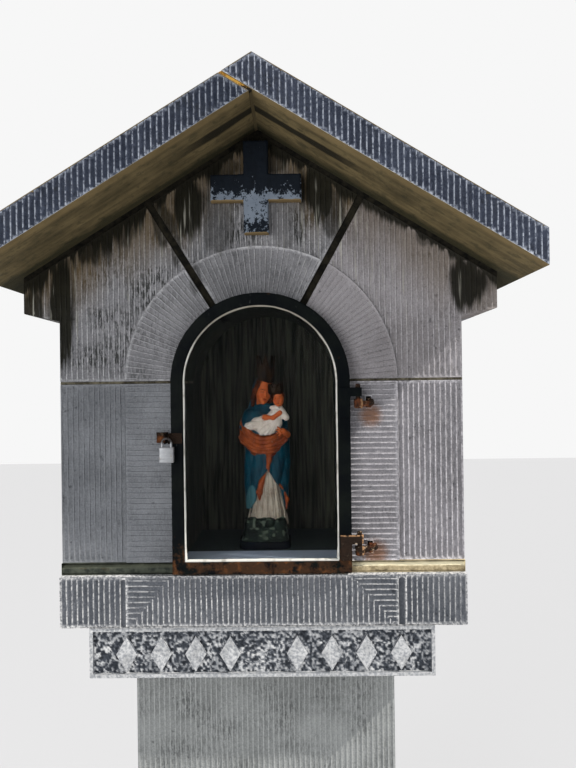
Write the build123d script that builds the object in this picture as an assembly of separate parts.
from build123d import *
import os
from math import cos, radians, sin, tan

# Wayside shrine of sawn and tooled bluestone, with a glazed iron door before its niche.
# Millimetres. The origin is the middle of the pedestal's foot, +Z is up, the front faces -Y.

# Courses, from the ground up
pedestal_height = 927.0
plaque_height = 99.0
ledge_height = 102.0
sill_height = 23.0
jamb_height = 355.0
bed_joint = 5.0
gable_rise = 491.0

# Half width of the body, and how far the other courses stand in or out from it
body_half = 400.0
pedestal_inset = 136.5
plaque_inset = 59.8
ledge_end = 1.0
roof_end = 35.0

# Depths
pedestal_depth = 340.0
front_layer = 175.0
rear_layer = 130.0
back_layer = 75.0
ledge_proud = 18.0
plaque_proud = 16.0
joint_recess = 3.0

# Shoulder stones under the roof
shoulder_rise = 126.0
shoulder_out = 71.0
shoulder_lift = 16.0

# Roof slabs
roof_angle = 31.5
roof_bed = 12.0
slab_thickness = 55.4
roof_overhang = 188.0
ridge_mortar = 5.0

# Niche and the raised band around it
niche_radius = 160.0
band_width = 111.0
band_proud = 5.0
key_joint = 14.0
left_key_angle = 31.5
right_key_angle = 29.0

# Cross in relief on the keystone
cross_width = 180.0
cross_post = 50.0
cross_arm = 54.0
cross_arm_drop = 66.0
cross_relief = 22.0
cross_bevel = 3.0
cross_x = -4.0
cross_foot_gap = 20.0
cross_head_gap = 16.0

# Plaque block, a little left of the middle, and the plain lozenges left standing in its sunk panel
plaque_x = -3.4
panel_margin = 8.0
panel_depth = 6.0
lozenge_width = 42.0
lozenge_height = 70.0
lozenge_pitch = 68.0
lozenge_start = 66.0
lozenge_count = 4
lozenge_foot = 3.0

# Door frame of angle iron
door_gap = 5.0
door_depth = 22.0
door_steel = 4.0
door_lap = 15.0
door_flange = 25.0
glass_thickness = 4.0
glass_edge_gap = 3.0
putty_width = 5.0
putty_height = 3.0
putty_bevel = 2.0
back_putty_width = 8.0
back_putty_height = 7.0

# Hinges: an eye on the door drops over a pin that is leaded into the jamb
hinge_offset = 15.0
knuckle_radius = 8.0
knuckle_height = 18.0
strap_thickness = 4.0
strap_width = 23.0
upper_seat_rise = 343.0
lower_seat_rise = 57.0
upper_strap_drop = 41.0
lower_strap_drop = 31.0
pin_radius = 4.7
pin_clearance = 0.3
pin_tail = 7.0
shank_height = 22.0
shank_thickness = 10.0
shank_reach = 28.0
spike_depth = 50.0

# Hasp, wall staple and padlock
hasp_rise = 266.0
hasp_steel = 2.5
hasp_height = 22.0
hasp_length = 26.0
staple_length = 25.0
staple_offset = 10.5
lug_gap = 5.0
lug_reach = 12.0
lug_hole_radius = 5.0
shackle_rod = 4.6
shackle_pitch = 17.4
shackle_left_play = 1.6
shackle_drop = 0.7
shackle_socket = 10.0
socket_play = 0.2
padlock_width = 28.4
padlock_height = 29.5
padlock_thickness = 13.0
padlock_hang = 16.0
padlock_round = 2.5

# Statue of a mother with her child, on a rocky base
base_width = 111.0
base_depth = 90.0
base_height = 16.0
base_round = 22.0
base_setback = 98.0
rock_height = 48.0
rock_inset = 4.0
rock_batter = 8.0
figure_x = 5.0
cloak_half = 51.0
cloak_half_depth = 33.0
cloak_lift = 30.0
cloak_height = 216.0
hem_tuck = 4.0
shoulder_height = 54.0
collar_half = 24.0
collar_half_depth = 19.0
robe_height = 130.0
robe_foot_inset = 9.0
robe_waist_inset = 24.0
robe_depth_inset = 6.0
opening_height = 104.0
opening_half = 45.0
drape_height = 56.0
drape_tuck = 12.0
drape_swell = 4.0
drape_forward = 4.0
dress_lift = 40.0
dress_height = 50.0
dress_half = 44.0
dress_half_depth = 14.0
dress_end_half = 32.0
dress_end_depth = 9.0
chest_half = 20.0
chest_half_depth = 13.0
child_neck_half = 8.0
child_head_radius = 16.5
child_head_x = 27.0
child_head_rise = 88.0
child_crown_height = 28.0
child_crown_taper = 0.85
head_x = -6.0
head_forward = 12.0
head_half = 18.5
head_half_height = 28.0
head_rise = 28.0
neck_radius = 10.0
crown_height = 60.0
crown_radius = 17.5
crown_taper = 1.12
crown_seat = 0.55
crown_lean = 6.0

# Half widths
pedestal_half = body_half - pedestal_inset
plaque_half = body_half - plaque_inset
ledge_half = body_half + ledge_end
shoulder_half = body_half + shoulder_out
roof_half = shoulder_half + roof_end

# Levels
plaque_foot = pedestal_height
ledge_foot = plaque_foot + plaque_height
sill_foot = ledge_foot + ledge_height
niche_floor = sill_foot + sill_height
spring = niche_floor + jamb_height
haunch_foot = spring + bed_joint
wall_apex = spring + gable_rise
shoulder_z = spring + shoulder_rise

# Planes from front to back
back_y = pedestal_depth / 2
back_slab_y = back_y - back_layer
middle_y = back_slab_y - rear_layer
face_y = middle_y - front_layer
band_y = face_y - band_proud
roof_front_y = face_y - roof_overhang
mortar_y = face_y + joint_recess
door_back_y = band_y - door_gap
door_front_y = door_back_y - door_depth

# Roof lines
slope = tan(radians(roof_angle))
slab_rise = slab_thickness / cos(radians(roof_angle))
band_radius = niche_radius + band_width

# Door outline, hinge axis and lock axis
door_half = niche_radius + door_lap
door_foot = sill_foot + door_gap
glass_y = door_front_y + door_steel
hinge_x = door_half + hinge_offset
hinge_y = door_front_y - strap_thickness + knuckle_radius
upper_seat = door_foot + upper_seat_rise
lower_seat = door_foot + lower_seat_rise
lock_y = door_front_y - lug_reach
lock_z = door_foot + hasp_rise
shackle_radius = shackle_rod / 2
wall_lug_x = -door_half - staple_offset
shackle_x = wall_lug_x - shackle_left_play - shackle_radius + shackle_pitch / 2
door_lug_x = wall_lug_x + hasp_steel + lug_gap

# Statue places
base_y = band_y + base_setback + base_depth / 2
rock_foot = niche_floor + base_height
figure_foot = rock_foot + rock_height
cloak_foot = figure_foot + cloak_lift
collar_z = cloak_foot + cloak_height
waist_z = figure_foot + robe_height
dress_foot = waist_z + dress_lift
dress_y = base_y - cloak_half_depth
child_x = figure_x + child_head_x
child_z = dress_foot + child_head_rise
mother_x = figure_x + head_x
mother_y = base_y - head_forward
mother_z = collar_z + head_rise


def block(x0, x1, y0, y1, z0, z1):
    """A squared stone or bar between two opposite corners."""
    middle = Pos((x0 + x1) / 2, (y0 + y1) / 2, (z0 + z1) / 2)
    return middle * Box(x1 - x0, y1 - y0, z1 - z0)


def upright(profile, y_front, y_back):
    """A profile drawn in x and z, as thick as from y_front to y_back."""
    return extrude(Plane.XZ.offset(-y_back) * profile, amount=y_back - y_front, dir=(0, -1, 0))


def polygon(*points):
    return Polygon(*points, align=None)


def mirrored(shape):
    return mirror(shape, about=Plane.YZ)


def arched(half_width, foot):
    """An opening with straight sides and a round head, struck from the springing."""
    head = Pos(0, spring) * Circle(half_width)
    sides = Pos(0, (foot + spring) / 2) * Rectangle(2 * half_width, spring - foot)
    return head + sides


def wall_top(x, lift=0.0):
    """Height of the sloping top of the walls at a distance x from the middle."""
    return wall_apex - slope * abs(x) + lift


def roof_strip(x_inner, x_outer, low, high):
    """A band that follows the right-hand slope, between two lifts above the wall top."""
    return polygon(
        (x_inner, wall_top(x_inner, low)),
        (x_outer, wall_top(x_outer, low)),
        (x_outer, wall_top(x_outer, high)),
        (x_inner, wall_top(x_inner, high)),
    )


def gable_outline(foot):
    """The wall from a level up to the roof, with its shoulders."""
    lifted = shoulder_z + shoulder_lift
    right = [
        (body_half, foot),
        (body_half, shoulder_z),
        (shoulder_half, lifted),
        (shoulder_half, wall_top(shoulder_half)),
    ]
    left = [(-x, z) for x, z in reversed(right)]
    return polygon(*right, (0, wall_apex), *left)


def from_spring(angle, radius, side_step):
    """A point at an angle off the upright through the arch's centre, stepped sideways."""
    turn = radians(angle)
    x = radius * sin(turn) + side_step * cos(turn)
    z = spring + radius * cos(turn) - side_step * sin(turn)
    return (x, z)


def key_joint_strip(angle):
    """The radial mortar joint beside the keystone."""
    far = 2 * gable_rise
    half = key_joint / 2
    corners = [(0, -half), (far, -half), (far, half), (0, half)]
    return polygon(*[from_spring(angle, radius, step) for radius, step in corners])


def key_wedge():
    """Everything between the middles of the two radial joints."""
    far = 2 * gable_rise
    return polygon((0, spring), from_spring(-left_key_angle, far, 0), from_spring(right_key_angle, far, 0))


def dressed(region, band):
    """A front stone: its plain field, and the raised band where it crosses the stone."""
    field = upright(region, face_y, middle_y)
    raised = upright(region & band, band_y, face_y)
    return field + raised


def front_stones():
    """Jambs, haunches and keystone, with their mortar joints."""
    opening = arched(niche_radius, niche_floor)
    band = arched(band_radius, niche_floor) - opening
    wall = gable_outline(niche_floor) - opening
    arch = gable_outline(haunch_foot) - opening
    left_strip = key_joint_strip(-left_key_angle)
    right_strip = key_joint_strip(right_key_angle)
    joints = left_strip + right_strip

    reach = 2 * roof_half
    rise = 2 * gable_rise
    left_side = Pos(-reach / 2, spring) * Rectangle(reach, rise)
    right_side = Pos(reach / 2, spring) * Rectangle(reach, rise)
    below = Pos(0, (niche_floor + spring) / 2) * Rectangle(reach, jamb_height)
    bed = Pos(0, spring + bed_joint / 2) * Rectangle(reach, bed_joint)
    wedge = key_wedge()

    stones = {
        "left_jamb": dressed(wall & below & left_side, band),
        "right_jamb": dressed(wall & below & right_side, band),
        "left_haunch": dressed((arch & left_side) - wedge - joints, band),
        "right_haunch": dressed((arch & right_side) - wedge - joints, band),
        "keystone": dressed((arch & wedge) - joints, band),
        "left_bed_joint": upright(wall & bed & left_side, mortar_y, middle_y),
        "right_bed_joint": upright(wall & bed & right_side, mortar_y, middle_y),
        "left_key_joint": upright(arch & left_strip, mortar_y, middle_y),
        "right_key_joint": upright(arch & right_strip, mortar_y, middle_y),
    }
    for seat in (upper_seat, lower_seat):
        stones["right_jamb"] -= pintle_spike(seat)
    return stones


def rear_stones():
    """The second layer of the walls, and the slab that closes the niche."""
    opening = arched(niche_radius, niche_floor)
    cheek = block(niche_radius, body_half, middle_y, back_slab_y, niche_floor, spring)
    return {
        "left_cheek": mirrored(cheek),
        "right_cheek": cheek,
        "rear_gable": upright(gable_outline(spring) - opening, middle_y, back_slab_y),
        "back_slab": upright(gable_outline(niche_floor), back_slab_y, back_y),
    }


def cross():
    """A plain cross left standing on the keystone."""
    foot = spring + band_radius + cross_foot_gap
    head = wall_apex - cross_head_gap
    post = Pos(cross_x, (foot + head) / 2) * Rectangle(cross_post, head - foot)
    arm = Pos(cross_x, head - cross_arm_drop - cross_arm / 2) * Rectangle(cross_width, cross_arm)
    relief = upright(post + arm, face_y - cross_relief, face_y)
    front = relief.faces().sort_by(Axis.Y)[0]
    return chamfer(front.edges(), cross_bevel)


def plaque_block():
    """The block under the ledge: a sunk panel with lozenges left at full height."""
    front = face_y - plaque_proud
    floor = front + panel_depth
    left = plaque_x - plaque_half
    right = plaque_x + plaque_half
    stone = block(left, right, front, back_y, plaque_foot, ledge_foot)
    stone -= block(
        left + panel_margin, right - panel_margin, front, floor,
        plaque_foot + panel_margin, ledge_foot - panel_margin,
    )
    half_width = lozenge_width / 2
    half_height = lozenge_height / 2
    middle = plaque_foot + panel_margin + lozenge_foot + half_height
    for side in (-1, 1):
        for place in range(lozenge_count):
            x = side * (lozenge_start + place * lozenge_pitch)
            lozenge = polygon(
                (x - half_width, middle), (x, middle - half_height),
                (x + half_width, middle), (x, middle + half_height),
            )
            stone += upright(lozenge, front, floor)
    return stone


def roof():
    """Two slabs: the right one runs over the ridge and the left one butts against its underside."""
    low = roof_bed
    high = roof_bed + slab_rise
    gap = ridge_mortar / cos(radians(roof_angle))

    def left_top(drop):
        """Where the right slab's underside, lowered by a drop, comes out of the left slope."""
        x = -(slab_rise + drop) / (2 * slope)
        return (x, wall_top(x, high))

    def left_foot(drop):
        """Where that line meets the left slab's underside."""
        x = -drop / (2 * slope)
        return (x, wall_top(x, low))

    right = polygon(
        (0, wall_top(0, high)),
        (roof_half, wall_top(roof_half, high)),
        (roof_half, wall_top(roof_half, low)),
        left_foot(0),
        left_top(0),
    )
    mortar = polygon(left_top(0), left_foot(0), left_foot(gap), left_top(gap))
    left = polygon(
        left_top(gap), left_foot(gap),
        (-roof_half, wall_top(roof_half, low)), (-roof_half, wall_top(roof_half, high)),
    )
    bed = upright(roof_strip(0, shoulder_half, 0, roof_bed), mortar_y, back_y)
    return {
        "roof_right": upright(right, roof_front_y, back_y),
        "roof_left": upright(left, roof_front_y, back_y),
        "ridge_joint": upright(mortar, roof_front_y + joint_recess, back_y),
        "right_roof_bed": bed,
        "left_roof_bed": mirrored(bed),
    }


def door_ring(outer_inset, inner_inset):
    """A strip of the door's outline, between two insets from its outer edge."""
    outer = arched(door_half - outer_inset, door_foot + outer_inset)
    return outer - arched(door_half - inner_inset, door_foot + inner_inset)


def door_frame():
    """Angle iron bent to the arch: a flange in front, a leg that turns back."""
    flange = upright(door_ring(0, door_flange), door_front_y, glass_y)
    leg = upright(door_ring(0, door_steel), glass_y, door_back_y)
    return flange + leg


def door_glass():
    inset = door_steel + glass_edge_gap
    pane = arched(door_half - inset, door_foot + inset)
    return upright(pane, glass_y, glass_y + glass_thickness)


def door_putty():
    """A bead squeezed out before the pane, and the bed that holds it from behind."""
    bead = upright(door_ring(door_flange, door_flange + putty_width), glass_y - putty_height, glass_y)
    front = bead.faces().sort_by(Axis.Y)[0]
    bead = chamfer(front.inner_wires()[0].edges(), putty_bevel)
    behind = glass_y + glass_thickness
    bed = upright(door_ring(door_steel, door_steel + back_putty_width), behind, behind + back_putty_height)
    return Compound([bead, bed])


def at_hinge(radius, foot, top):
    """A round bar on the hinge axis."""
    return Pos(hinge_x, hinge_y, (foot + top) / 2) * Cylinder(radius, top - foot)


def door_hinge(seat, strap_drop):
    """The strap on the door's flange, rolled into an eye above its seat."""
    top = seat + knuckle_height
    strap_front = door_front_y - strap_thickness
    plate = block(door_half - strap_width, door_half, strap_front, door_front_y, seat - strap_drop, top)
    neck = block(door_half, hinge_x, strap_front, door_front_y, seat, top)
    bore = at_hinge(pin_radius + pin_clearance, seat, top)
    return plate + neck + at_hinge(knuckle_radius, seat, top) - bore


def pintle_spike(seat):
    """The tail of the shank, leaded into the jamb."""
    top = seat - pin_clearance
    return block(
        hinge_x + shank_reach - shank_thickness, hinge_x + shank_reach,
        band_y, band_y + spike_depth, top - shank_height, top,
    )


def pintle(seat):
    """Pin, boss and shank; the shank turns back into the stone."""
    top = seat - pin_clearance
    foot = top - shank_height
    half = shank_thickness / 2
    arm = block(hinge_x, hinge_x + shank_reach, hinge_y - half, hinge_y + half, foot, top)
    turn = block(hinge_x + shank_reach - shank_thickness, hinge_x + shank_reach, hinge_y, band_y, foot, top)
    pin = at_hinge(pin_radius, foot, seat + knuckle_height + pin_tail)
    return at_hinge(knuckle_radius, foot, top) + arm + turn + pin + pintle_spike(seat)


def lug(x, root_y):
    """A strap end turned out towards the front, rounded about its hole."""
    half = hasp_height / 2
    shank = block(x, x + hasp_steel, lock_y, root_y, lock_z - half, lock_z + half)
    nose = Pos(x + hasp_steel / 2, lock_y, lock_z) * Rot(0, 90, 0) * Cylinder(half, hasp_steel)
    hole = Pos(x + hasp_steel / 2, lock_y, lock_z) * Rot(0, 90, 0) * Cylinder(lug_hole_radius, 2 * hasp_steel)
    return shank + nose - hole


def door_hasp():
    half = hasp_height / 2
    plate = block(door_lug_x, door_lug_x + hasp_length, door_front_y - hasp_steel, door_front_y,
                  lock_z - half, lock_z + half)
    return plate + lug(door_lug_x, door_front_y)


def wall_staple():
    """The stone's half of the fastening, its eye open in front so that the door can swing."""
    half = hasp_height / 2
    end = wall_lug_x + hasp_steel
    plate = block(end - staple_length, end, band_y - hasp_steel, band_y, lock_z - half, lock_z + half)
    mouth = block(wall_lug_x - hasp_steel, end + hasp_steel, lock_y - 2 * half, lock_y,
                  lock_z - lug_hole_radius, lock_z + lug_hole_radius)
    return plate + lug(wall_lug_x, band_y) - mouth


def padlock():
    """A small laminated padlock that hangs by its bow from both lugs."""
    top = lock_z - padlock_hang
    half = shackle_pitch / 2
    bow_z = lock_z + shackle_drop - half
    foot = top - shackle_socket + socket_play
    body = block(
        shackle_x - padlock_width / 2, shackle_x + padlock_width / 2,
        lock_y - padlock_thickness / 2, lock_y + padlock_thickness / 2, top - padlock_height, top,
    )
    body = fillet(body.edges().filter_by(Axis.Z), padlock_round)
    leg_length = bow_z - foot
    shackle = Pos(shackle_x, lock_y, bow_z) * Rot(90, 0, 0) * Torus(half, shackle_radius)
    shackle &= block(shackle_x - padlock_width, shackle_x + padlock_width, lock_y - padlock_width,
                     lock_y + padlock_width, bow_z, bow_z + padlock_width)
    for side in (-1, 1):
        x = shackle_x + side * half
        shackle += Pos(x, lock_y, bow_z - leg_length / 2) * Cylinder(shackle_radius, leg_length)
        socket = Cylinder(shackle_radius + socket_play, shackle_socket)
        body -= Pos(x, lock_y, top - shackle_socket / 2) * socket
    return {"padlock_body": body, "padlock_shackle": shackle}


def oval(x, y, z, half_width, half_depth):
    """A level section of the figure."""
    return Plane.XY.offset(z) * (Pos(x, y) * Ellipse(half_width, half_depth))


def rounded(width, depth, z):
    """A level section of the base or the rock."""
    return Plane.XY.offset(z) * (Pos(0, base_y) * RectangleRounded(width, depth, base_round))


def base_and_rock():
    """A plain plinth with a battered rock on it."""
    base = extrude(rounded(base_width, base_depth, niche_floor), amount=base_height)
    width = base_width - 2 * rock_inset
    depth = base_depth - 2 * rock_inset
    top = rounded(width - 2 * rock_batter, depth - 2 * rock_batter, figure_foot)
    return base, loft([rounded(width, depth, rock_foot), top])


def robe_form():
    """The long robe, wide over the rock and narrow at the waist."""
    depth = cloak_half_depth - robe_depth_inset
    return loft([
        oval(figure_x, base_y, figure_foot, cloak_half - robe_foot_inset, depth),
        oval(figure_x, base_y, waist_z, cloak_half - robe_waist_inset, depth),
    ])


def cloak_form():
    """The whole of the cloaked figure, from the hem to the collar."""
    return loft([
        oval(figure_x, base_y, cloak_foot, cloak_half - hem_tuck, cloak_half_depth - hem_tuck),
        oval(figure_x, base_y, waist_z, cloak_half, cloak_half_depth),
        oval(figure_x, base_y, collar_z - shoulder_height, cloak_half, cloak_half_depth),
        oval(figure_x, base_y, collar_z, collar_half, collar_half_depth),
    ])


def cloak_opening():
    """The parting of the cloak in front, over the robe."""
    apex = (figure_x, figure_foot + opening_height)
    gore = polygon((figure_x - opening_half, figure_foot), (figure_x + opening_half, figure_foot), apex)
    return upright(gore, base_y - base_depth, base_y)


def drape_form():
    """The cloth gathered across the front of the waist."""
    y = base_y - drape_forward
    depth = cloak_half_depth + drape_swell
    gathered = loft([
        oval(figure_x, y, waist_z, cloak_half - drape_tuck, cloak_half_depth),
        oval(figure_x, y, waist_z + drape_height, cloak_half + drape_swell, depth),
    ])
    front = block(-niche_radius, niche_radius, base_y - base_depth, base_y, waist_z, collar_z)
    return gathered & front


def dress_form():
    """The child's dress, spread across the mother's arms and up to the child's neck."""
    skirt = loft([
        oval(figure_x, dress_y, dress_foot, dress_end_half, dress_end_depth),
        oval(figure_x, dress_y, dress_foot + dress_height / 2, dress_half, dress_half_depth),
        oval(figure_x, dress_y, dress_foot + dress_height, dress_end_half, dress_end_depth),
    ])
    chest = loft([
        oval(child_x, dress_y, dress_foot + dress_height / 2, chest_half, chest_half_depth),
        oval(child_x, dress_y, child_z, child_neck_half, child_neck_half),
    ])
    return skirt + chest


def crown(x, y, z, radius, height, taper):
    return Pos(x, y, z + height / 2) * Cone(radius, radius * taper, height)


def statue():
    """Base, rock and figure; each piece ends where the one that carries it begins."""
    base, rock = base_and_rock()
    robe = robe_form()
    cloak = cloak_form()
    drape = drape_form()
    dress = dress_form()
    child_ball = Pos(child_x, dress_y, child_z) * Sphere(child_head_radius)
    head_size = (head_half, head_half, head_half_height)
    head = Pos(mother_x, mother_y, mother_z) * scale(Sphere(1), by=head_size)
    neck = Pos(mother_x, mother_y, (collar_z + mother_z) / 2) * Cylinder(neck_radius, mother_z - collar_z)

    mother = head + neck - cloak - dress
    mother_crown_z = mother_z + head_half_height * crown_seat
    crown_x = mother_x + crown_lean
    mother_crown = crown(crown_x, mother_y, mother_crown_z, crown_radius, crown_height, crown_taper) - head
    child_crown_z = child_z + child_head_radius * crown_seat
    child_crown = crown(
        child_x, dress_y, child_crown_z, child_head_radius, child_crown_height, child_crown_taper,
    )
    return {
        "statue_base": base,
        "statue_rock": rock,
        "statue_robe": robe,
        "statue_cloak": cloak - robe - cloak_opening(),
        "statue_drape": drape - cloak - robe,
        "child_dress": dress - cloak - drape - child_ball,
        "mother_head": mother,
        "mother_crown": mother_crown,
        "child_head": child_ball - mother - cloak - mother_crown,
        "child_crown": child_crown - child_ball - mother - mother_crown,
    }


def lower_stones():
    """Pedestal, plaque block, ledge and the mortar bed on it."""
    return {
        "pedestal": block(-pedestal_half, pedestal_half, -back_y, back_y, 0, pedestal_height),
        "plaque_block": plaque_block(),
        "ledge": block(-ledge_half, ledge_half, face_y - ledge_proud, back_y, ledge_foot, sill_foot),
        "sill_bed": block(-body_half, body_half, band_y, back_y, sill_foot, niche_floor),
    }


def door():
    return {
        "door_frame": door_frame(),
        "door_glass": door_glass(),
        "door_putty": door_putty(),
        "door_upper_hinge": door_hinge(upper_seat, upper_strap_drop),
        "door_lower_hinge": door_hinge(lower_seat, lower_strap_drop),
        "upper_pintle": pintle(upper_seat),
        "lower_pintle": pintle(lower_seat),
        "door_hasp": door_hasp(),
        "wall_staple": wall_staple(),
    }


def shrine():
    pieces = {}
    for group in (lower_stones(), front_stones(), rear_stones(), roof(), door(), padlock(), statue()):
        pieces.update(group)
    pieces["cross"] = cross()
    return pieces


os.makedirs("parts", exist_ok=True)
for name, piece in shrine().items():
    export_step(piece, f"parts/{name}.step")
